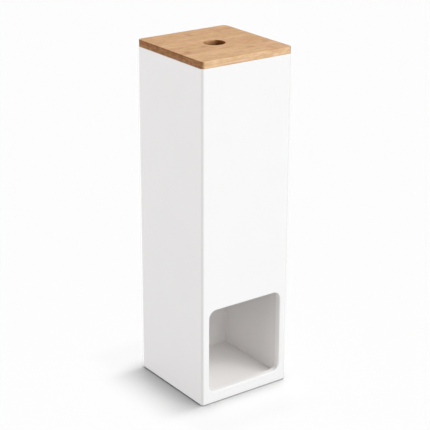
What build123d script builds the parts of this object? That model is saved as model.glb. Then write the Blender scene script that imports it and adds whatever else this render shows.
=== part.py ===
from build123d import *
import os

# Freestanding toilet roll holder: a box tower of lacquered boards with an opening at the bottom of
# its front, and a loose bamboo lid. All sizes are in millimetres. The origin is on the floor, under
# the middle of the tower. X runs to the right seen from the front, the front faces -Y, Z is up.

# Tower
tower_width = 150.0          # across the front
tower_depth = 155.0          # front face to the rear edges of the side boards
tower_height = 495.0         # bottom edges of the boards to the lid's seat
board_thickness = 10.0       # every board of the tower
back_setback = 8.0           # rear face of the back board, in from the rear edges of the sides
corner_radius = 4.0          # the four upright outer corners
rim_radius = 1.0             # outer edges at the top and the bottom

# Roll opening, cut in the front board
opening_side_lip = 2.5       # front board left standing past the inner face of each side board
opening_height = 127.0
opening_radius = 12.0        # its four corners
opening_front_round = 1.5    # softened edge on the front face
opening_rear_round = 1.0     # softened edge on the rear face
sill_rise = 7.0              # front board left standing above the floor of the shaft

# Dowels in the glued joints of the boards
dowel_diameter = 6.0
dowel_length = 20.0
dowel_skin = 3.5             # wood left beyond a hole drilled in the face of a board
dowel_glue_gap = 0.05        # between a dowel and its hole, all round
dowel_end_gap = 0.5          # between a dowel's end and the bottom of its hole
dowels_per_upright = 3       # in each upright joint
dowels_per_floor_edge = 2    # in each edge of the base board

# Lid
lid_thickness = 10.0
lid_corner_radius = 5.0
lid_edge_round = 1.0
finger_hole_diameter = 30.0
finger_hole_round = 1.0      # softened edges of the finger hole

# Battens under the lid, which drop inside the tower and keep the lid in place
batten_width = 12.0
batten_height = 8.0
batten_gap = 1.0             # from the battens to the boards around them
batten_end_radius = 2.0      # upright corners of a batten
batten_edge_chamfer = 1.0    # lower edges of a batten

# Countersunk screws that hold the battens to the lid
screw_diameter = 3.5
screw_head_diameter = 7.0
screw_head_rim = 0.3         # straight rim of the head, under its flat face
screw_tip_length = 2.5
screw_skin = 3.0             # lid left above the tip of a screw
screw_gap = 0.05             # between a screw and its hole
screws_per_batten = 2
cross_width = 0.9            # cross recess in a screw's head
cross_length = 3.8
cross_depth = 1.4

# Non-slip feet stuck under the base board
foot_diameter = 14.0
foot_height = 1.5
foot_inset = 3.0             # from the edges of the base board to the rim of a foot
foot_edge_chamfer = 0.5

# Two places closer than this are taken as the same one
same_place = 0.01

# Places that follow from these sizes
front_y = -tower_depth / 2
rear_y = tower_depth / 2
front_inner_y = front_y + board_thickness
back_outer_y = rear_y - back_setback
back_inner_y = back_outer_y - board_thickness
side_x = tower_width / 2
side_inner_x = side_x - board_thickness
side_middle_x = side_x - board_thickness / 2
back_middle_y = back_outer_y - board_thickness / 2
board_bottom_z = foot_height
base_middle_z = board_bottom_z + board_thickness / 2
floor_z = board_bottom_z + board_thickness
sill_z = floor_z + sill_rise
seat_z = board_bottom_z + tower_height
lid_top_z = seat_z + lid_thickness
hands = {"left": -1, "right": 1}


def block(x_span, y_span, z_span):
    """A plain box between the two ends of each span."""
    spans = (x_span, y_span, z_span)
    middle = [(low + high) / 2 for low, high in spans]
    size = [high - low for low, high in spans]
    return Pos(*middle) * Box(*size)


def shared_out(count, low, high):
    """Places of a number of equal shares of a length, each at the middle of its share."""
    share = (high - low) / count
    return [low + share * (place + 0.5) for place in range(count)]


def mirrored(hand, low, high):
    """A span in X on the right of the tower, or the same span on its left."""
    return tuple(sorted((hand * low, hand * high)))


def edges_within(edges, axis, low, high):
    """Edges that lie between two places along an axis."""
    return edges.filter_by_position(axis, low - same_place, high + same_place)


def tower_envelope():
    """Outer form of the closed tower, with its upright corners and rims rounded."""
    outline = RectangleRounded(tower_width, tower_depth, corner_radius)
    envelope = Pos(0, 0, board_bottom_z) * extrude(outline, tower_height)
    ends = envelope.faces().filter_by(Axis.Z)
    return fillet(ends.edges(), rim_radius)


def front_panel():
    """Front board over the front edges of the sides and the base, with the roll opening."""
    panel = block((-side_x, side_x), (front_y, front_inner_y), (board_bottom_z, seat_z))
    panel = panel & tower_envelope()
    opening_width = 2 * (side_inner_x - opening_side_lip)
    middle_z = sill_z + opening_height / 2
    sketch_plane = Plane(origin=(0, front_inner_y, middle_z), x_dir=(1, 0, 0), z_dir=(0, -1, 0))
    outline = RectangleRounded(opening_width, opening_height, opening_radius)
    panel = panel - extrude(sketch_plane * outline, board_thickness)
    rounds = {front_y: opening_front_round, front_inner_y: opening_rear_round}
    for face_y, radius in rounds.items():
        rim = edges_within(panel.edges(), Axis.Y, face_y, face_y)
        rim = edges_within(rim, Axis.X, -opening_width / 2, opening_width / 2)
        rim = edges_within(rim, Axis.Z, sill_z, sill_z + opening_height)
        panel = fillet(rim, radius)
    return panel


def side_panel(hand):
    """Side board behind the front board, from the floor edge to the lid's seat."""
    x_span = mirrored(hand, side_inner_x, side_x)
    board = block(x_span, (front_inner_y, rear_y), (board_bottom_z, seat_z))
    return board & tower_envelope()


def back_panel():
    """Back board set in between the sides."""
    return block((-side_inner_x, side_inner_x), (back_inner_y, back_outer_y), (board_bottom_z, seat_z))


def base_panel():
    """Board between the other four that the rolls stand on."""
    y_span = (front_inner_y, back_inner_y)
    return block((-side_inner_x, side_inner_x), y_span, (board_bottom_z, floor_z))


def dowel_stations():
    """Plane of every dowel, by joint: on the seam, with its Z axis into the edge of the butting board."""
    upright = shared_out(dowels_per_upright, board_bottom_z, seat_z)
    along_x = shared_out(dowels_per_floor_edge, -side_inner_x, side_inner_x)
    along_y = shared_out(dowels_per_floor_edge, front_inner_y, back_inner_y)
    seams = {
        "base_front": [((x, front_inner_y, base_middle_z), (0, 1, 0)) for x in along_x],
        "base_back": [((x, back_inner_y, base_middle_z), (0, -1, 0)) for x in along_x],
    }
    for side, hand in hands.items():
        inner_x = hand * side_inner_x
        middle_x = hand * side_middle_x
        seams["front_" + side] = [((middle_x, front_inner_y, z), (0, 1, 0)) for z in upright]
        seams["back_" + side] = [((inner_x, back_middle_y, z), (-hand, 0, 0)) for z in upright]
        seams["base_" + side] = [((inner_x, y, base_middle_z), (-hand, 0, 0)) for y in along_y]
    return {
        seam: [Plane(origin=point, z_dir=direction) for point, direction in places]
        for seam, places in seams.items()
    }


def dowel_start():
    """How far a dowel reaches back from the seam into the face that it is drilled in."""
    return board_thickness - dowel_skin - dowel_end_gap


def dowel():
    """A plain wood dowel, on the seam's plane."""
    rod = Cylinder(dowel_diameter / 2, dowel_length)
    return Pos(0, 0, dowel_length / 2 - dowel_start()) * rod


def dowel_hole():
    """The two holes of one dowel, drilled across the seam."""
    hole = Cylinder(dowel_diameter / 2 + dowel_glue_gap, dowel_length + 2 * dowel_end_gap)
    return Pos(0, 0, dowel_length / 2 - dowel_start()) * hole


def drilled(board, stations, *seams):
    """A board with the dowel holes of the joints that it is part of."""
    for seam in seams:
        for plane in stations[seam]:
            board = board - plane * dowel_hole()
    return board


def placed_copies(piece, places):
    """Separate copies of one piece, kept together as one group."""
    return Compound(children=[place * piece for place in places])


def screw_form(gap):
    """A countersunk screw on the Z axis with its head's face at zero, swollen by a gap."""
    head_radius = screw_head_diameter / 2 + gap
    shank_radius = screw_diameter / 2 + gap
    cone_height = head_radius - shank_radius
    tip_z = batten_height + lid_thickness - screw_skin
    profile = Polyline(
        (0, 0, -gap),
        (head_radius, 0, -gap),
        (head_radius, 0, screw_head_rim),
        (shank_radius, 0, screw_head_rim + cone_height),
        (shank_radius, 0, tip_z - screw_tip_length),
        (0, 0, tip_z + gap),
        close=True,
    )
    return revolve(make_face(profile), Axis.Z)


def screw():
    """One countersunk screw with a cross recess in its head."""
    body = screw_form(0)
    for angle in (0, 90):
        slot = Rot(0, 0, angle) * Box(cross_length, cross_width, 2 * cross_depth)
        body = body - slot
    return body


def screw_places():
    """Where the screws' heads lie, by the hand of the batten that they hold."""
    batten_middle_x = side_inner_x - batten_gap - batten_width / 2
    head_z = seat_z - batten_height
    along = shared_out(screws_per_batten, front_inner_y + batten_gap, back_inner_y - batten_gap)
    return {
        side: [Pos(hand * batten_middle_x, y, head_z) for y in along]
        for side, hand in hands.items()
    }


def lid_board(places):
    """Lid as wide and deep as the tower, with the finger hole through its middle."""
    outline = RectangleRounded(tower_width, tower_depth, lid_corner_radius)
    lid = Pos(0, 0, seat_z) * extrude(outline, lid_thickness)
    lid = fillet(lid.faces().filter_by(Axis.Z).edges(), lid_edge_round)
    hole_radius = finger_hole_diameter / 2
    lid = lid - Pos(0, 0, seat_z + lid_thickness / 2) * Cylinder(hole_radius, lid_thickness)
    rims = lid.edges().filter_by(GeomType.CIRCLE)
    rims = rims.filter_by(lambda edge: abs(edge.radius - hole_radius) < same_place)
    lid = fillet(rims, finger_hole_round)
    for place in places["left"] + places["right"]:
        lid = lid - place * screw_form(screw_gap)
    return lid


def lid_batten(hand, places):
    """Locating batten along one side of the shaft, drilled and countersunk for its screws."""
    outer_x = side_inner_x - batten_gap
    x_span = mirrored(hand, outer_x - batten_width, outer_x)
    y_span = (front_inner_y + batten_gap, back_inner_y - batten_gap)
    batten = block(x_span, y_span, (seat_z - batten_height, seat_z))
    batten = fillet(batten.edges().filter_by(Axis.Z), batten_end_radius)
    lower_face = batten.faces().sort_by(Axis.Z)[0]
    batten = chamfer(lower_face.edges(), batten_edge_chamfer)
    for place in places:
        batten = batten - place * screw_form(screw_gap)
    return batten


def foot():
    """Round non-slip pad with its top face at zero."""
    pad = Pos(0, 0, -foot_height / 2) * Cylinder(foot_diameter / 2, foot_height)
    lower_rim = pad.edges().filter_by(GeomType.CIRCLE).sort_by(Axis.Z)[0]
    return chamfer(lower_rim, foot_edge_chamfer)


def feet():
    """The four feet, by name, near the corners of the base board."""
    reach = foot_inset + foot_diameter / 2
    rows = {"front": front_inner_y + reach, "back": back_inner_y - reach}
    return {
        row + "_" + side + "_foot": Pos(hand * (side_inner_x - reach), y, board_bottom_z) * foot()
        for row, y in rows.items()
        for side, hand in hands.items()
    }


def build():
    """Every named piece of the holder."""
    stations = dowel_stations()
    places = screw_places()
    pieces = {
        "front_panel": drilled(front_panel(), stations, "front_left", "front_right", "base_front"),
        "back_panel": drilled(back_panel(), stations, "back_left", "back_right", "base_back"),
        "base_panel": drilled(base_panel(), stations, "base_front", "base_back", "base_left", "base_right"),
        "lid_board": lid_board(places),
        "lid_screws": placed_copies(screw(), places["left"] + places["right"]),
    }
    for side, hand in hands.items():
        seams = [row + side for row in ("front_", "back_", "base_")]
        pieces[side + "_side_panel"] = drilled(side_panel(hand), stations, *seams)
        pieces["lid_" + side + "_batten"] = lid_batten(hand, places[side])
    for seam, planes in stations.items():
        pieces[seam + "_dowels"] = placed_copies(dowel(), planes)
    pieces.update(feet())
    return pieces


os.makedirs("parts", exist_ok=True)
for name, piece in build().items():
    piece.label = name
    export_step(piece, "parts/" + name + ".step")
    print(name, "volume", round(piece.volume), "mm3")
print("height over the lid", lid_top_z)
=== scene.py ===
import math

import bpy
import numpy as np
from mathutils import Matrix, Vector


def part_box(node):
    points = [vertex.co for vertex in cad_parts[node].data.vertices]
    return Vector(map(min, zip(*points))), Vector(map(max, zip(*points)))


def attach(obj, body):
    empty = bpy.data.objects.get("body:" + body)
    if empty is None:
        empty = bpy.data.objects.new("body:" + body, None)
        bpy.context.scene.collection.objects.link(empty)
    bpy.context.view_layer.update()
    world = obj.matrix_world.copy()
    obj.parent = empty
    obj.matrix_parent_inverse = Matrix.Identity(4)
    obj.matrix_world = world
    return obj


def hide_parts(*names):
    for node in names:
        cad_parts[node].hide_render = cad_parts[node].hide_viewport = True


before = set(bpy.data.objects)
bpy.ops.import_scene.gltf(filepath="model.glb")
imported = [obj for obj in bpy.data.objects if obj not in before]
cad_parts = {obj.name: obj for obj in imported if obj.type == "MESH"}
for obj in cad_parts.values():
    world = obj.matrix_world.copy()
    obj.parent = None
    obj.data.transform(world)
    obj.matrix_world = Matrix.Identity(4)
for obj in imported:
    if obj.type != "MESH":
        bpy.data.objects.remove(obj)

print("packed holder loaded:", len(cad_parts), "nodes")
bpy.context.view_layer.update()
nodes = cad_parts
boxOf = {name: [np.array(corner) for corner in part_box(name)] for name in nodes}
mm = 0.001
holeRadius = 15 * mm       # of the finger hole, about the Z axis


class Wire:
    # a socket that can be used in Python sums
    def __init__(self, sheet, socket):
        self.sheet = sheet
        self.socket = socket

    def __add__(self, other):
        return self.sheet.maths("ADD", self, other)

    def __sub__(self, other):
        return self.sheet.maths("SUBTRACT", self, other)

    def __rsub__(self, other):
        return self.sheet.maths("SUBTRACT", other, self)

    def __mul__(self, other):
        return self.sheet.maths("MULTIPLY", self, other)

    def __truediv__(self, other):
        return self.sheet.maths("DIVIDE", self, other)

    def __abs__(self):
        return self.sheet.maths("ABSOLUTE", self)

    __radd__ = __add__
    __rmul__ = __mul__


class Sheet:
    # the node tree of a material or of the world
    def __init__(self, owner):
        owner.use_nodes = True
        self.owner = owner
        self.tree = owner.node_tree
        self.tree.nodes.clear()

    def node(self, kind, settings=None, inputs=None, outputs=(0,)):
        # settings first, then values or wires for the sockets; gives back a wire for each named output
        made = self.tree.nodes.new("ShaderNode" + kind)
        for key, value in (settings or {}).items():
            setattr(made, key, value)
        for key, value in (inputs or {}).items():
            if isinstance(value, Wire):
                self.tree.links.new(value.socket, made.inputs[key])
            else:
                made.inputs[key].default_value = value
        wires = [Wire(self, made.outputs[key]) for key in outputs]
        return wires[0] if len(wires) == 1 else wires

    def maths(self, operation, *values):
        return self.node("Math", {"operation": operation}, dict(enumerate(values)))

    def highest(self, *values):
        top = values[0]
        for value in values[1:]:
            top = self.maths("MAXIMUM", top, value)
        return top

    def place(self, turn=0.0):
        # the point on the piece, with its pattern turned about Z by some degrees
        return self.turned(self.node("TexCoord", outputs=("Object",)), turn)

    def facing(self, turn=0.0):
        # the way that the surface looks, turned in the same way
        return self.turned(self.node("TexCoord", outputs=("Normal",)), turn)

    def turned(self, vector, turn):
        return self.node("Mapping", None, {"Vector": vector, "Rotation": (0, 0, math.radians(turn))})

    def split(self, vector):
        return self.node("SeparateXYZ", None, {0: vector}, (0, 1, 2))

    def join(self, x, y, z):
        return self.node("CombineXYZ", None, {0: x, 1: y, 2: z})

    def blend(self, share, low, high, kind="MIX"):
        # two colours by a share
        settings = {"data_type": "RGBA", "blend_type": kind}
        return self.node("Mix", settings, {"Factor": share, 6: low, 7: high}, (2,))

    def tint(self, share, colour, factor):
        # a colour times a factor colour, where the share is 1
        return self.blend(share, colour, factor, "MULTIPLY")

    def step(self, value, low, high, start=0.0, end=1.0):
        # a smooth step from start to end while the value goes from low to high
        settings = {"interpolation_type": "SMOOTHSTEP"}
        return self.node("MapRange", settings, {0: value, 1: low, 2: high, 3: start, 4: end})

    def beside(self, value, edge, along, end, reach):
        # 1 on a straight edge of the holder's outline, fading softly away from it and past its ends
        half = reach / 2
        over = self.step(value, edge + reach, edge) * self.step(value, edge - half, edge)
        return over * self.step(abs(along), end + half, end - half)

    def noise(self, where, size, detail=2.0, rough=0.5):
        # size is in metres, one for all axes or one for each
        sizes = size if isinstance(size, tuple) else (size, size, size)
        spot = self.node("Mapping", None, {"Vector": where, "Scale": tuple(1 / s for s in sizes)})
        inputs = {"Vector": spot, "Scale": 1.0, "Detail": detail, "Roughness": rough}
        return self.node("TexNoise", None, inputs)

    def spots(self, where, size):
        # distance from the nearest of many scattered points, in shares of their spacing
        spot = self.node("Mapping", None, {"Vector": where, "Scale": tuple(1 / s for s in size)})
        return self.node("TexVoronoi", None, {"Vector": spot, "Scale": 1.0}, ("Distance",))

    def chance(self, number):
        # a fixed random value for each whole number
        return self.node("TexWhiteNoise", {"noise_dimensions": "1D"}, {"W": number})

    def bump(self, height, depth, under=None):
        # height runs from 0 to 1, depth is in metres
        inputs = {"Strength": 1.0, "Distance": depth, "Height": height}
        if under is not None:
            inputs["Normal"] = under
        return self.node("Bump", None, inputs)

    def finish(self, sockets):
        shader = self.node("BsdfPrincipled", None, sockets)
        self.node("OutputMaterial", None, {"Surface": shader}, ())
        return self.owner


def newSheet(name):
    return Sheet(bpy.data.materials.new(name))


lacquerLook = {
    # the colours are matched to the photo's levels, so some of its light is in them
    "colour": (0.920, 0.918, 0.918, 1),      # a white that is nearly neutral
    "cloudColour": (0.910, 0.908, 0.908, 1),
    "insidePaintedLight": (0.940, 0.918, 0.903, 1),  # the inner faces, lighter and warmer: painted light for the light inside the shaft
    "openingPaintedLight": (0.968, 0.959, 0.952, 1),  # the cut edges of the opening, lighter: painted light
    "arrisPaintedShade": (0.840, 0.835, 0.829, 1),   # every rounded edge, darker: painted shade
    "cornerPaintedShade": (0.755, 0.748, 0.740, 1),  # the tower's upright corners, darker still: painted shade
    "cornerWidth": 5 * mm,
    "arrisFrom": 0.98,                       # edges round between these, as the cosine to the nearest axis
    "arrisTo": 0.85,
    "cutFrom": 0.9,                          # the opening's edges show between these, as a cosine to Y
    "cutTo": 0.5,
    "fade": 1 * mm,                          # how softly one of these colours goes over into the next
    "roughness": 0.40,
    "cloudShine": 0.08,                      # how much the clouds and the peel change the roughness
    "peelShine": 0.05,
    "arrisShine": 0.06,
    "cloudSize": 60 * mm,
    "cloudDetail": 4,
    "cloudFrom": 0.35,
    "cloudTo": 0.75,
    "peelSize": 1.6 * mm,
    "peelDetail": 2,
    "peelRough": 0.45,
    "peelDepth": 0.012 * mm,
    "waveSize": 45 * mm,
    "waveDetail": 1,
    "waveDepth": 0.10 * mm,
}


def whiteLacquer():
    look = lacquerLook
    sheet = newSheet("whiteLacquer")
    place = sheet.place()
    x, y = sheet.split(place)[:2]
    nx, ny, nz = sheet.split(sheet.facing())
    fade = look["fade"]
    cloud = sheet.noise(place, look["cloudSize"], look["cloudDetail"])
    peel = sheet.noise(place, look["peelSize"], look["peelDetail"], look["peelRough"])
    wave = sheet.noise(place, look["waveSize"], look["waveDetail"])
    clouded = sheet.step(cloud, look["cloudFrom"], look["cloudTo"])
    colour = sheet.blend(clouded, look["colour"], look["cloudColour"])

    # how far a point lies outside the shaft, negative or none on its inner faces
    innerX = boxOf["right_side_panel"][0][0]
    innerFront = boxOf["front_panel"][1][1]
    outside = sheet.highest(abs(x) - innerX, innerFront - y, y - boxOf["back_panel"][0][1])
    # painted light: the inner faces of the shaft are lighter and warmer
    colour = sheet.blend(sheet.step(outside, fade, fade / 2), colour, look["insidePaintedLight"])

    # the cut edges of the opening lie in the front board and don't look along Y; painted light makes them
    # lighter
    cut = sheet.step(abs(ny), look["cutFrom"], look["cutTo"]) * sheet.step(abs(x), innerX, innerX - fade)
    opening = cut * sheet.step(y, innerFront + fade, innerFront)
    colour = sheet.blend(opening, colour, look["openingPaintedLight"])

    # every rounded edge, and over that the tower's upright corners, darkened with painted shade
    arris = sheet.step(sheet.highest(abs(nx), abs(ny), abs(nz)), look["arrisFrom"], look["arrisTo"])
    colour = sheet.blend(arris, colour, look["arrisPaintedShade"])
    cornerStart = boxOf["right_side_panel"][1][0] - look["cornerWidth"]
    # painted shade along the tower's upright corners
    corner = arris * sheet.step(abs(x), cornerStart, cornerStart + fade)
    colour = sheet.blend(corner, colour, look["cornerPaintedShade"])

    shine = look["roughness"] + look["cloudShine"] * (cloud - 0.5) + look["peelShine"] * (peel - 0.5)
    surface = sheet.bump(peel, look["peelDepth"], sheet.bump(wave, look["waveDepth"]))
    sockets = {"Base Color": colour, "Roughness": shine - look["arrisShine"] * arris, "Normal": surface}
    return sheet.finish(sockets)


bambooLook = {
    "pale": (0.728, 0.449, 0.223, 1),
    "deep": (0.519, 0.253, 0.095, 1),
    # the next colours are factors; like the two above they are matched to the photo's levels, so some
    # of its light is in them
    "longSidePaintedLight": (1.173, 1.341, 1.675, 1),    # the upright sides along the grain, lighter than the top: painted light
    "longGlue": (0.90, 0.87, 0.84, 1),       # the glue joint in them
    "longLower": (0.96, 0.945, 0.94, 1),     # and their lower ply
    "sideFrom": 0.4,                         # these sides show between these, as a cosine to Y
    "sideTo": 0.9,
    "endGrain": (0.534, 0.430, 0.360, 1),    # the ends of the fibres, against the top
    "endPatch": (0.72, 0.69, 0.67, 1),       # darker patches in them
    "endLower": (1.07, 1.14, 1.18, 1),       # their lower ply
    "endGlue": (1.10, 1.12, 1.13, 1),
    "endRimPaintedShade": (0.86, 0.83, 0.81, 1),         # their upper rim and rounded corners, darker: painted shade
    "endRimHeight": 2.4 * mm,                # it is whole over the upper half of this
    "nodeColour": (0.80, 0.68, 0.64, 1),     # a node of the cane, against the wood around it
    "nodeWander": (6 * mm, 8 * mm),          # how far its edge strays along and across the strip
    "seamColour": (0.86, 0.80, 0.74, 1),     # the glue between two strips
    "poreColour": (0.62, 0.55, 0.50, 1),     # the dark dots of the fibre bundles in the ends
    "holeShadeTop": (0.84, 0.71, 0.60, 1),        # painted shade on the finger hole's wall, at its top and deeper at its foot
    "holeShadeFoot": (0.39, 0.26, 0.14, 1),
    "holeEnd": 0.65,                         # the share of the fibre ends' colour that it leaves out
    "holeRightShade": (0.48, 0.32, 0.14, 1),      # painted shade on its right side
    "rightFrom": 0.50,                       # it starts so far right of the hole's middle, in its radii
    "rightTo": 0.80,                         # and is whole here
    "holeArris": 1.5 * mm,                   # how far the hole's colours reach over its rounded edges
    "holeRim": 1 * mm,                       # its wall darkens between this far in from either face
    "stripWidth": 20.75 * mm,
    "plyShift": 0.5,                         # how far the lower ply's strips lie to the side, in strips
    "plyChance": 40,                         # keeps the random values of the two plies apart
    "seamWidth": 0.35 * mm,
    "glueHeight": 4.5 * mm,                  # the joint between the two plies, over the underside
    "glueWidth": 0.9 * mm,
    # the size of each figure in the wood along, across and through it, and its share in the tone
    "figures": {
        "fibre": {"size": (70 * mm, 0.8 * mm, 0.8 * mm), "share": 1.00, "detail": 3},
        "fleck": {"size": (9 * mm, 2.4 * mm, 2.4 * mm), "share": 1.10, "detail": 2},
        "vein": {"size": (110 * mm, 4.5 * mm, 4.5 * mm), "share": 0.65, "detail": 2},
        "mottle": {"size": (15 * mm, 8 * mm, 8 * mm), "share": 1.10, "detail": 2},
        "cloud": {"size": (50 * mm, 28 * mm, 28 * mm), "share": 0.65, "detail": 1},
    },
    "straw": (1.000, 1.016, 0.960, 1),       # the hue strays between these two
    "blush": (1.012, 0.984, 1.032, 1),
    "hueFigure": (17 * mm, 9 * mm, 9 * mm),
    "hueDetail": 2,
    "hueFrom": 0.36,
    "hueTo": 0.64,
    "stripShare": 0.12,
    "stripShift": 0.7,                       # how far the figure of one strip lies from the next one's
    "paleStrips": 2,                         # strips of a paler cane along the front edge
    "paleTone": 0.24,
    "paleBorder": 0.04,                      # how soft their inner border is, in strips
    "paleFade": (35 * mm, -15 * mm),         # they darken towards the right, down to this share
    "paleLeast": 0.45,
    "hair": (25 * mm, 0.25 * mm, 0.25 * mm), # the finest lines in the surface
    "hairShare": 0.4,
    "endFigure": (9 * mm, 11 * mm, 2.6 * mm),
    "endFigureDetail": 3,
    "endFigureFrom": 0.42,
    "endFigureTo": 0.64,
    "endFrom": 0.0,                          # how far a surface looks along the grain, as a cosine
    "endTo": 0.72,
    "endLift": 0.30,                         # how much later the fibre ends show where it also looks up
    # X, Y and strength of the nodes in the upper ply, in mm
    "nodeMarks": [
        (-6, 56, 1.0), (-61, -24, 1.0), (-24, -12, 0.7), (28, -48, 0.7), (50, -64, 0.7), (64, -30, 0.6),
    ],
    "nodeLength": 8 * mm,
    "nodeWidth": 9 * mm,
    "nodeCore": (0.1, 0.3),                  # the shares of its length and width that are darkest
    "pore": (8 * mm, 0.9 * mm, 0.9 * mm),
    "poreRadius": 0.45,                      # in shares of their spacing, and whole within a third of it
    "poreShare": 0.6,
    "seamShare": 0.7,
    "cornerFrom": 0.995,                     # the rounded corners take that painted shade between these, as a cosine
    "cornerTo": 0.93,
    "roughness": 0.46,
    "fibreShine": 0.12,
    "endRoughness": 0.25,
    "specular": 0.24,
    "fibreDepth": 0.03 * mm,
    "seamDepth": 0.05 * mm,
}


class Board:
    # what every part of the wood's finish needs of a point: the board is two plies of glued strips, with
    # the grain along X, or along Y when turned by 90 degrees
    def __init__(self, sheet, turn):
        look = bambooLook
        self.x, self.y, self.z = sheet.split(sheet.place(turn))
        self.nx, self.ny, self.nz = sheet.split(sheet.facing(turn))
        low, high = boxOf["lid_board"]
        self.under = low[2]
        self.top = high[2]
        glueLine = self.under + look["glueHeight"]
        self.upper = sheet.step(self.z, glueLine - look["glueWidth"], glueLine + look["glueWidth"])
        self.glue = sheet.step(abs(self.z - glueLine), look["glueWidth"], 0.0)
        lowerPly = sheet.maths("LESS_THAN", self.z, glueLine)
        self.across = (self.y + high[1]) / look["stripWidth"] + look["plyShift"] * lowerPly
        self.chance = sheet.chance(sheet.maths("FLOOR", self.across) + look["plyChance"] * lowerPly)
        # each strip takes its figure from another place along the cane
        self.shifted = sheet.join(self.x + look["stripShift"] * self.chance, self.y, self.z)
        self.noises = {}
        for figure, made in look["figures"].items():
            self.noises[figure] = sheet.noise(self.shifted, made["size"], made["detail"])


def stripColour(sheet, board):
    # the tone runs from 0, pale, to 1, deep, with every figure about its own middle
    look = bambooLook
    tone = 0.5 + look["stripShare"] * (board.chance - 0.5)
    for figure, made in look["figures"].items():
        tone = tone + made["share"] * (board.noises[figure] - 0.5)
    strips = look["paleStrips"]
    border = look["paleBorder"]
    paleEdge = sheet.step(board.across, strips + border, strips - border) * board.upper
    fade = sheet.step(board.x, *look["paleFade"], look["paleLeast"], 1.0)
    tone = tone - look["paleTone"] * paleEdge * fade
    colour = sheet.blend(tone, look["pale"], look["deep"])
    hueNoise = sheet.noise(board.shifted, look["hueFigure"], look["hueDetail"])
    hue = sheet.step(hueNoise, look["hueFrom"], look["hueTo"])
    return sheet.tint(1.0, colour, sheet.blend(hue, look["straw"], look["blush"]))


def nodesOfCane(sheet, board):
    # 1 in the middle of a node in the upper face, 0 past its edge, which strays with the mottle
    look = bambooLook
    stray = board.noises["mottle"] - 0.5
    wanderX, wanderY = look["nodeWander"]
    coreX, coreY = look["nodeCore"]
    node = 0.0
    for markX, markY, strength in look["nodeMarks"]:
        along = abs(board.x - markX * mm + wanderX * stray) / look["nodeLength"]
        aside = abs(board.y - markY * mm + wanderY * stray) / look["nodeWidth"]
        mark = sheet.step(along, 1.0, coreX) * sheet.step(aside, 1.0, coreY)
        node = sheet.highest(node, strength * mark)
    return node * board.upper * abs(board.nz)


def shadeSides(sheet, board, colour):
    # the upright sides along the grain, lightened with painted light, with their lower ply and glue joint
    look = bambooLook
    side = sheet.step(abs(board.ny), look["sideFrom"], look["sideTo"])
    colour = sheet.tint(side, colour, look["longSidePaintedLight"])
    colour = sheet.tint(side * (1 - board.upper), colour, look["longLower"])
    return sheet.tint(side * board.glue, colour, look["longGlue"])


def shadeEnds(sheet, board, colour, end, pore):
    # the ends of the fibres, with their lower ply, patches, rim and corners darkened by painted shade, glue
    # joint and pores
    look = bambooLook
    colour = sheet.tint(end, colour, look["endGrain"])
    colour = sheet.tint(end * (1 - board.upper), colour, look["endLower"])
    endNoise = sheet.noise(board.shifted, look["endFigure"], look["endFigureDetail"])
    patch = sheet.step(endNoise, look["endFigureFrom"], look["endFigureTo"])
    colour = sheet.tint(patch * end, colour, look["endPatch"])
    rim = sheet.step(board.z, board.top - look["endRimHeight"], board.top - look["endRimHeight"] / 2)
    corner = sheet.step(abs(board.nx), look["cornerFrom"], look["cornerTo"]) * (1 - abs(board.nz))
    colour = sheet.tint(sheet.highest(rim, corner) * end, colour, look["endRimPaintedShade"])
    colour = sheet.tint(board.glue * end, colour, look["endGlue"])
    return sheet.tint(look["poreShare"] * pore * end, colour, look["poreColour"])


def shadeHole(sheet, board, colour, hole, wall):
    # painted shade in the finger hole: its wall browner and darker towards its foot, and its right side
    # darker
    look = bambooLook
    depth = sheet.step(board.z, board.top - look["holeRim"], board.under + look["holeRim"])
    colour = sheet.tint(wall, colour, sheet.blend(depth, look["holeShadeTop"], look["holeShadeFoot"]))
    right = hole * sheet.step(board.x, look["rightFrom"] * holeRadius, look["rightTo"] * holeRadius)
    return sheet.tint(right, colour, look["holeRightShade"])


def bambooWood(name, turn=0):
    look = bambooLook
    sheet = newSheet(name)
    board = Board(sheet, turn)
    spot = sheet.join(board.x, board.y, 0.0)
    reach = sheet.node("VectorMath", {"operation": "LENGTH"}, {0: spot}, ("Value",))
    hole = sheet.step(reach, holeRadius + look["holeArris"], holeRadius)
    wall = hole * (1 - abs(board.nz))
    end = sheet.step(abs(board.nx) - look["endLift"] * abs(board.nz), look["endFrom"], look["endTo"])
    end = end * (1 - look["holeEnd"] * wall)
    pore = sheet.step(sheet.spots(board.shifted, look["pore"]), look["poreRadius"], look["poreRadius"] / 3)
    fromSeam = sheet.maths("PINGPONG", board.across, 0.5)    # in strips
    seam = sheet.step(fromSeam, look["seamWidth"] / look["stripWidth"], 0.0)

    colour = stripColour(sheet, board)
    colour = sheet.tint(nodesOfCane(sheet, board), colour, look["nodeColour"])
    colour = shadeSides(sheet, board, colour)
    colour = shadeEnds(sheet, board, colour, end, pore)
    colour = sheet.tint(look["seamShare"] * seam * abs(board.nz), colour, look["seamColour"])
    colour = shadeHole(sheet, board, colour, hole, wall)

    fibre = board.noises["fibre"]
    shine = look["roughness"] + look["fibreShine"] * (fibre - 0.5) + look["endRoughness"] * end
    hair = look["hairShare"] * sheet.noise(board.shifted, look["hair"])
    grain = sheet.bump((1 - look["hairShare"]) * fibre + hair, look["fibreDepth"])
    surface = sheet.bump(1 - sheet.highest(seam, pore * end), look["seamDepth"], grain)
    return sheet.finish({
        "Base Color": colour,
        "Roughness": shine,
        "Normal": surface,
        "Specular IOR Level": look["specular"],
    })


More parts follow.
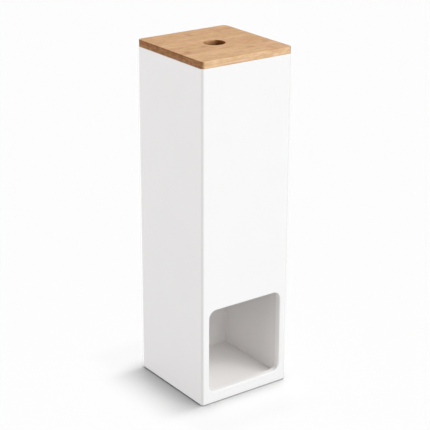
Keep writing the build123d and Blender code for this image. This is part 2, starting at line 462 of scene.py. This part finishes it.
dowelLook = {
    "colours": [(0.62, 0.43, 0.26, 1), (0.50, 0.32, 0.18, 1)],
    "grain": 3 * mm,
    "detail": 3,
    "metal": 0.0,
    "roughness": 0.6,
    "grainShine": 0.1,                       # how much the grain changes the roughness
    "depth": 0.05 * mm,
}
rubberLook = {
    "colours": [(0.035, 0.035, 0.036, 1), (0.060, 0.060, 0.062, 1)],
    "grain": 0.8 * mm,
    "detail": 2,
    "metal": 0.0,
    "roughness": 0.75,
    "grainShine": 0.1,
    "depth": 0.05 * mm,
}
screwLook = {
    "colours": [(0.62, 0.63, 0.65, 1), (0.50, 0.50, 0.50, 1)],
    "grain": 1.5 * mm,
    "detail": 3,
    "metal": 1.0,
    "roughness": 0.28,
    "grainShine": 0.15,
    "depth": 0.01 * mm,
}


def grainedFinish(name, look):
    # one fine grain for the colour, the gloss and the surface
    sheet = newSheet(name)
    grain = sheet.noise(sheet.place(), look["grain"], look["detail"])
    return sheet.finish({
        "Base Color": sheet.blend(grain, *look["colours"]),
        "Metallic": look["metal"],
        "Roughness": look["roughness"] + look["grainShine"] * grain,
        "Normal": sheet.bump(grain, look["depth"]),
    })


finishes = {
    "white_lacquer": whiteLacquer(),
    "bamboo": bambooWood("bambooBoard"),
    "dowel_wood": grainedFinish("beechDowel", dowelLook),
    "foot_rubber": grainedFinish("darkRubber", rubberLook),
    "screw_steel": grainedFinish("zincSteel", screwLook),
}
for node in nodes.values():
    for slot in node.material_slots:
        slot.material = finishes[slot.material.name]
battenWood = bambooWood("bambooBatten", turn=90)
for name in ("lid_left_batten", "lid_right_batten"):
    nodes[name].material_slots[0].material = battenWood
print("finishes made:", len(finishes))


def gridMesh(name, points, closed=False, startPole=None, endPole=None):
    # faces over a grid of points, rows by spokes, closed round the spokes; closed joins the last row
    # to the first, a pole closes its end of the rows with a fan; faces look out of a section that runs
    # anticlockwise, out along the bottom, up the side and back in over the top
    rows, spokes = points.shape[:2]
    index = np.arange(rows * spokes).reshape(rows, spokes)
    below = index if closed else index[:-1]
    above = np.roll(index, -1, 0) if closed else index[1:]
    faces = np.stack([below, np.roll(below, -1, 1), np.roll(above, -1, 1), above], -1).reshape(-1, 4).tolist()
    places = points.reshape(-1, 3).tolist()
    if startPole is not None:
        fan = np.stack([np.full(spokes, len(places)), np.roll(index[0], -1), index[0]], -1)
        faces += fan.tolist()
        places.append(startPole)
    if endPole is not None:
        fan = np.stack([np.full(spokes, len(places)), index[-1], np.roll(index[-1], -1)], -1)
        faces += fan.tolist()
        places.append(endPole)
    mesh = bpy.data.meshes.new(name)
    mesh.from_pydata(places, [], faces)
    mesh.shade_smooth()
    return mesh


def newPiece(name, mesh, material, body, replaced):
    piece = bpy.data.objects.new(name, mesh)
    bpy.context.scene.collection.objects.link(piece)
    mesh.materials.append(material)
    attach(piece, body)
    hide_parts(replaced)
    return piece


def roundedOutline(halfWidth, halfDepth, radius, spokes, cornerShare):
    # steps along a rectangle with quarter circles for corners, anticlockwise from the middle of its right
    # side; a corner's steps are finer than a side's by the corner share. Gives back, for each step, the
    # way that the edge looks and the point one corner radius in from it
    arc = radius * math.pi / 2 * cornerShare
    deep = halfDepth - radius
    wide = halfWidth - radius
    reached = np.cumsum([0, deep, arc, 2 * wide, arc, 2 * deep, arc, 2 * wide, arc, deep])
    along = (np.arange(spokes) + 0.5) / spokes * reached[-1]
    # the look stands still on a side and turns by a quarter in a corner, the point does the opposite
    angle = np.interp(along, reached, np.array([0, 0, 1, 1, 2, 2, 3, 3, 4, 4]) * math.pi / 2)
    middleX = np.interp(along, reached, np.array([1, 1, 1, -1, -1, -1, -1, 1, 1, 1]) * wide)
    middleY = np.interp(along, reached, np.array([0, 1, 1, 1, 1, -1, -1, -1, -1, 0]) * deep)
    return np.stack([np.cos(angle), np.sin(angle)], -1), np.stack([middleX, middleY], -1)


lidLook = {
    "cornerRadius": 5 * mm,
    "arrisRadius": 1.0 * mm,
    "lowerArris": 0.45 * mm,   # the arris at the foot of the sides
    "easing": 0.18,            # how much the sanded outer arris varies along the board
    "easings": 9,              # slow waves of that round the board
    "grooveDepth": 0.12 * mm,  # the glue joint, sunk a little in the sides
    "grooveWidth": 0.7 * mm,
    "spokes": 560,
    "cornerShare": 3.0,
    "arcSteps": 5,
    "flatSteps": 18,
    "wallSteps": 6,
}


def lidSection(look, low, high):
    # the board's section from the hole to the outline, anticlockwise, as columns of
    # share (0 on the hole's circle, 1 on the outline), inset and rise, height and sink
    def run(share, inset, rise, height, sink=0.0):
        return np.stack(np.broadcast_arrays(share, inset, rise, height, sink), -1)

    quarter = np.linspace(0, math.pi / 2, look["arcSteps"] + 1)
    inset = 1 - np.sin(quarter)    # from the flat face round to the side
    drop = 1 - np.cos(quarter)
    # across a flat face, finer towards both its ends by a cosine
    flat = 0.5 - 0.5 * np.cos(np.linspace(0, math.pi, look["flatSteps"] + 2)[1:-1])
    wall = np.linspace(1, 0, look["wallSteps"] + 2)[1:-1]
    groove = np.array([-1.0, -0.5, 0.0, 0.5, 1.0])
    glue = low + bambooLook["glueHeight"] + groove * look["grooveWidth"] / 2
    upper = look["arrisRadius"]
    lower = look["lowerArris"]
    return np.concatenate([
        run(0.0, lower * inset[::-1], lower * drop[::-1], low),
        run(flat, lower, 0.0, low),
        run(1.0, lower * inset, lower * drop, low),
        run(1.0, 0.0, 0.0, glue, look["grooveDepth"] * (1 - abs(groove))),
        run(1.0, upper * inset[::-1], -upper * drop[::-1], high),
        run(flat[::-1], upper, 0.0, high),
        run(0.0, upper * inset, -upper * drop, high),
        run(0.0, 0.0, 0.0, low + lower + wall * (high - upper - low - lower)),
    ])


def lidBoard():
    # each section point lies on the line from the hole's circle to the board's outline, at its share;
    # the arris on the outline is eased by a sine of the turn round the board, with uneven waves
    look = lidLook
    low, high = boxOf["lid_board"]
    radius = look["cornerRadius"]
    facing, middle = roundedOutline(high[0], high[1], radius, look["spokes"], look["cornerShare"])
    outline = middle + facing * radius
    turn = np.arctan2(outline[:, 1], outline[:, 0])
    circle = np.stack([np.cos(turn), np.sin(turn)], -1)
    easing = 0.5 * look["easing"] * (1 + np.sin(look["easings"] * turn + np.sin(2 * turn)))
    share, inset, rise, height, sink = lidSection(look, low[2], high[2]).T[:, :, None]
    eased = 1 - share * easing    # the sanded arris is smaller in places
    inner = circle * (holeRadius + inset * eased)[:, :, None]
    outer = middle + facing * (radius - inset * eased - sink)[:, :, None]
    place = inner * (1 - share)[:, :, None] + outer * share[:, :, None]
    points = np.concatenate([place, (height + rise * eased)[:, :, None]], -1)
    mesh = gridMesh("lidBoard", points, closed=True)
    return newPiece("lidBoard", mesh, finishes["bamboo"], "lid", "lid_board")


lidBoard()
print("lid board made")


footLook = {
    "radius": 7 * mm,
    "dome": 0.25 * mm,         # how far the middle of the tread stands in from the floor
    "edge": 0.5 * mm,          # the rounded lower edge
    "ringFrom": 3.6 * mm,      # moulded rings in the tread, out to the edge
    "rings": 3,
    "ringDepth": 0.18 * mm,
    "spokes": 72,
    "treadSteps": 42,
    "edgeSteps": 6,
}


def footProfile(look, height):
    # from the middle of the tread out to its edge, round that and up to the top face, as radius and height;
    # the tread is a shallow dish with rings of a cosine's shape
    r = np.linspace(0, look["radius"] - look["edge"], look["treadSteps"] + 1)[1:]
    ringed = np.clip((r - look["ringFrom"]) / (r[-1] - look["ringFrom"]), 0, 1)
    rings = 0.5 * look["ringDepth"] * (1 - np.cos(2 * math.pi * look["rings"] * ringed))
    dish = look["dome"] * np.clip(1 - r / look["ringFrom"], 0, 1)
    tread = np.stack([r, dish + rings], -1)
    bend = np.linspace(0, math.pi / 2, look["edgeSteps"] + 1)[1:]
    edge = np.stack([r[-1] + look["edge"] * np.sin(bend), look["edge"] * (1 - np.cos(bend))], -1)
    top = np.array([[look["radius"], height], [look["radius"] - look["edge"], height]])
    return np.concatenate([tread, edge, top])


def rubberFoot(name):
    # the profile turned about the foot's upright axis
    look = footLook
    low, high = boxOf[name]
    middle = (low + high) / 2
    profile = footProfile(look, high[2] - low[2])
    turn = np.linspace(0, 2 * math.pi, look["spokes"], endpoint=False)
    x = middle[0] + np.outer(profile[:, 0], np.cos(turn))
    y = middle[1] + np.outer(profile[:, 0], np.sin(turn))
    z = low[2] + np.outer(profile[:, 1], np.ones(look["spokes"]))
    under = [middle[0], middle[1], low[2] + look["dome"]]
    over = [middle[0], middle[1], high[2]]
    mesh = gridMesh(name + "Pad", np.stack([x, y, z], -1), startPole=under, endPole=over)
    return newPiece(name + "Pad", mesh, finishes["foot_rubber"], "root", name)


for name in nodes:
    if name.endswith("_foot"):
        rubberFoot(name)
print("feet made")


# the studio: a pale floor, a soft world and distant lamps
studio = {
    "floorRadius": 7.0,
    "floorRings": 12,
    "floorSpokes": 96,
    "openFloor": 0.982,        # what the bare floor and the backdrop show
    "floorColour": 0.10,
    "floorGlow": 0.17,
    "contactFrom": -4 * mm,    # the gap under the holder darkens between these, over its outline
    "contactTo": 4 * mm,
    "frontReach": 10 * mm,     # how far the floor's glow reaches in under the front edge
    "frontGlow": 2.2,          # and its strength there, against the open floor's glow
    "leftSpill": -0.30,        # what the glow loses beside the left side, and gains before the front
    "frontSpill": 0.25,
    "spillReach": 80 * mm,
    "nearBounce": 0.58,        # what the floor gives back to the holder, close by and further out
    "farBounce": 0.72,
    "bounceReach": 500 * mm,
    "horizon": 0.36,           # the world's own light, low down and overhead
    "zenith": 0.16,
}
# azimuth from the front towards +X, height above the horizon and spread, in degrees;
# onFlat is what a white surface that faces the lamp would show, share is a part of the floor's lamp light
# the object's lamps skip the floor, the floor's lamps light nothing else, and all are matched to the photo
objectLamps = [
    {"name": "keySoftbox", "azimuth": 15, "height": 45, "spread": 40, "onFlat": 0.507},
    {"name": "rightSoftbox", "azimuth": 45, "height": 45, "spread": 40, "onFlat": 0.280},
    {"name": "leftSoftbox", "azimuth": -90, "height": 15, "spread": 40, "onFlat": 0.262,
     "colour": (1.03, 0.975, 0.97)},    # a little pink
    {"name": "rearSoftbox", "azimuth": -150, "height": 15, "spread": 40, "onFlat": 0.150},
    {"name": "fillCard", "azimuth": -30, "height": 15, "spread": 40, "onFlat": 0.062},
]
floorLamps = [
    {"name": "overheadMain", "azimuth": 90, "height": 88, "spread": 6, "share": 0.570},
    {"name": "overheadLeft", "azimuth": 270, "height": 89, "spread": 3, "share": 0.177},
    {"name": "overheadRight", "azimuth": 90, "height": 84, "spread": 3, "share": 0.130},
    {"name": "overheadLow", "azimuth": 90, "height": 82, "spread": 3, "share": 0.048},
    {"name": "overheadFront", "azimuth": 30, "height": 80, "spread": 3, "share": 0.041},
    {"name": "overheadRear", "azimuth": 150, "height": 80, "spread": 3, "share": 0.034},
]


def floorMesh(name, radius, rings, spokes):
    # points at (r cos a, r sin a, 0), with r going in over the rings and a over the spokes
    r = np.linspace(radius, 0, rings, endpoint=False)
    a = np.linspace(0, 2 * math.pi, spokes, endpoint=False)
    points = np.stack([np.outer(r, np.cos(a)), np.outer(r, np.sin(a)), np.zeros((rings, spokes))], -1)
    return gridMesh(name, points, endPole=[0, 0, 0])


def paleFloor():
    # matt with a little glow in the picture, fading into the gap under the holder, and a glow of its own
    # for the light that the floor gives back to the holder, weaker where the holder shades it
    sheet = newSheet("paleFloor")
    x, y = sheet.split(sheet.place())[:2]
    front = boxOf["front_panel"][0][1]
    right = boxOf["front_panel"][1][0]
    outside = sheet.highest(abs(x) - right, abs(y) + front)    # how far out from the holder's outline
    underFront = studio["frontGlow"] * sheet.step(y, front + studio["frontReach"], front)
    clear = sheet.step(outside, studio["contactFrom"], studio["contactTo"])
    atLeft = sheet.beside(0 - x, right, y, 0 - front, studio["spillReach"])
    atFront = sheet.beside(0 - y, 0 - front, x, right, studio["spillReach"])
    spill = 1 + studio["leftSpill"] * atLeft + studio["frontSpill"] * atFront
    glowing = studio["floorGlow"] * (spill * clear + (1 - clear) * underFront)
    bounce = sheet.node("LightPath", outputs=("Is Diffuse Ray",))
    given = sheet.step(outside, 0.0, studio["bounceReach"], studio["nearBounce"], studio["farBounce"])
    level = studio["floorColour"] * (1 - bounce)
    glow = sheet.node("Emission", None, {"Strength": glowing * (1 - bounce) + given * bounce})
    matt = sheet.node("BsdfDiffuse", None, {"Color": sheet.join(level, level, level)})
    sheet.node("OutputMaterial", None, {"Surface": sheet.node("AddShader", None, {0: glow, 1: matt})}, ())
    sheet.owner.cycles.emission_sampling = "NONE"    # a lamp sample would miss the kind of ray
    return sheet.owner


def makeWorld():
    # its light fades from the horizon to the zenith; the camera, gloss and glass see the backdrop's level
    sheet = Sheet(bpy.data.worlds.new("studio"))
    rays = ("Is Camera Ray", "Is Glossy Ray", "Is Transmission Ray")
    seen = sheet.highest(*sheet.node("LightPath", outputs=rays))
    up = sheet.split(sheet.node("TexCoord", outputs=("Generated",)))[2]
    soft = studio["horizon"] + (studio["zenith"] - studio["horizon"]) * sheet.highest(up, 0.0)
    level = seen * studio["openFloor"] + (1 - seen) * soft
    light = sheet.node("Background", None, {"Color": (1, 1, 1, 1), "Strength": level})
    sheet.node("OutputWorld", None, {"Surface": light}, ())
    bpy.context.scene.world = sheet.owner


def addLamp(lamp, onFlat, floor, floorOnly):
    data = bpy.data.lights.new(lamp["name"], "SUN")
    data.angle = math.radians(lamp["spread"])
    data.energy = math.pi * onFlat
    data.color = lamp.get("colour", (1, 1, 1))
    holder = bpy.data.objects.new(lamp["name"], data)
    aim = Matrix.Rotation(math.radians(lamp["azimuth"]), 4, "Z")
    holder.matrix_world = aim @ Matrix.Rotation(math.radians(90 - lamp["height"]), 4, "X")
    bpy.context.scene.collection.objects.link(holder)
    reach = bpy.data.collections.new(lamp["name"] + "Reach")
    reach.objects.link(floor)
    holder.light_linking.receiver_collection = reach
    reach.collection_objects[0].light_linking.link_state = "INCLUDE" if floorOnly else "EXCLUDE"


def makeStudio():
    mesh = floorMesh("floor", studio["floorRadius"], studio["floorRings"], studio["floorSpokes"])
    floor = bpy.data.objects.new("floor", mesh)
    bpy.context.scene.collection.objects.link(floor)
    floor.data.materials.append(paleFloor())
    makeWorld()
    # the world's light on the floor is its level, averaged by the sine of the height
    ambient = (studio["horizon"] + 2 * studio["zenith"]) / 3
    lampLevel = (studio["openFloor"] - studio["floorGlow"]) / studio["floorColour"] - ambient
    for lamp in floorLamps:
        addLamp(lamp, lamp["share"] * lampLevel, floor, True)
    for lamp in objectLamps:
        addLamp(lamp, lamp["onFlat"], floor, False)


makeStudio()
print("studio lit by", len(floorLamps) + len(objectLamps), "lamps")


cameraLook = {
    "place": (-1.0997, -1.5295, 0.9729),
    "yaw": 35.77,        # from +Y towards +X, in degrees
    "pitch": 20.91,      # below the horizon
    "roll": 0.186,
    "lens": 117.61,      # mm on a 36 mm sensor
    "sensor": 36,
}


def makeCamera():
    look = cameraLook
    data = bpy.data.cameras.new("productCamera")
    data.lens = look["lens"]
    data.sensor_width = look["sensor"]
    camera = bpy.data.objects.new("productCamera", data)
    turn = Matrix.Rotation(math.radians(-look["yaw"]), 4, "Z")
    tip = Matrix.Rotation(math.radians(90 - look["pitch"]), 4, "X")
    roll = Matrix.Rotation(math.radians(look["roll"]), 4, "Z")
    camera.matrix_world = Matrix.Translation(look["place"]) @ turn @ tip @ roll
    bpy.context.scene.collection.objects.link(camera)
    bpy.context.scene.camera = camera


makeCamera()
print("camera set")
bpy.context.scene.view_settings.view_transform = "Standard"
